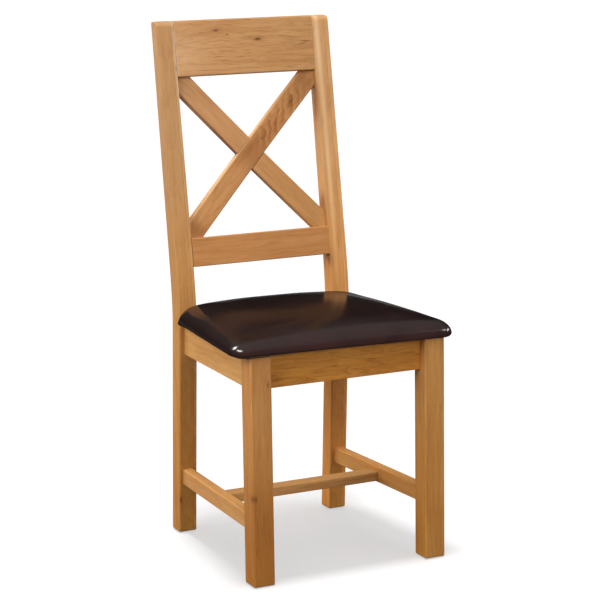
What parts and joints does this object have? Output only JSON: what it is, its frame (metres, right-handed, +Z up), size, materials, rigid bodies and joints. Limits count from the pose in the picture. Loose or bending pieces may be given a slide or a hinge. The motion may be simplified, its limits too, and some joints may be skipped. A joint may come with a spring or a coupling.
{
  "type": "dining chair",
  "caption": "Oak cross-back dining chair with raked rear posts, half-lapped back braces, H stretcher and a padded dark brown leather seat.",
  "frame": {"origin": "middle of the bounding box, on the floor", "axes": "+Z up, the seat faces -Y, +X is to the right seen from the front"},
  "size_m": [0.475, 0.5118, 1.0855],
  "materials": {
    "oak": "satin lacquered oak",
    "plywood": "raw plywood",
    "foam": "open cell foam",
    "leather": "glossy dark brown",
    "steel": "zinc plated",
    "plastic": "matt"
  },
  "bodies": {
    "root": {"front_leg_left": "oak", "front_leg_right": "oak", "rear_post_left": "oak", "rear_post_right": "oak", "front_seat_rail": "oak", "rear_seat_rail": "oak", "left_seat_rail": "oak", "right_seat_rail": "oak", "left_stretcher": "oak", "right_stretcher": "oak", "middle_stretcher": "oak", "crest_rail": "oak", "lower_back_rail": "oak", "cross_brace_rising": "oak", "cross_brace_falling": "oak", "corner_block_front_left": "oak", "corner_block_front_right": "oak", "corner_block_rear_left": "oak", "corner_block_rear_right": "oak", "seat_board": "plywood", "seat_foam": "foam", "seat_cover": "leather", "seat_screw_front_left": "steel", "seat_screw_front_right": "steel", "seat_screw_rear_left": "steel", "seat_screw_rear_right": "steel", "front_glide_left": "plastic", "front_glide_right": "plastic", "rear_glide_left": "plastic", "rear_glide_right": "plastic"}
  },
  "joints": []
}
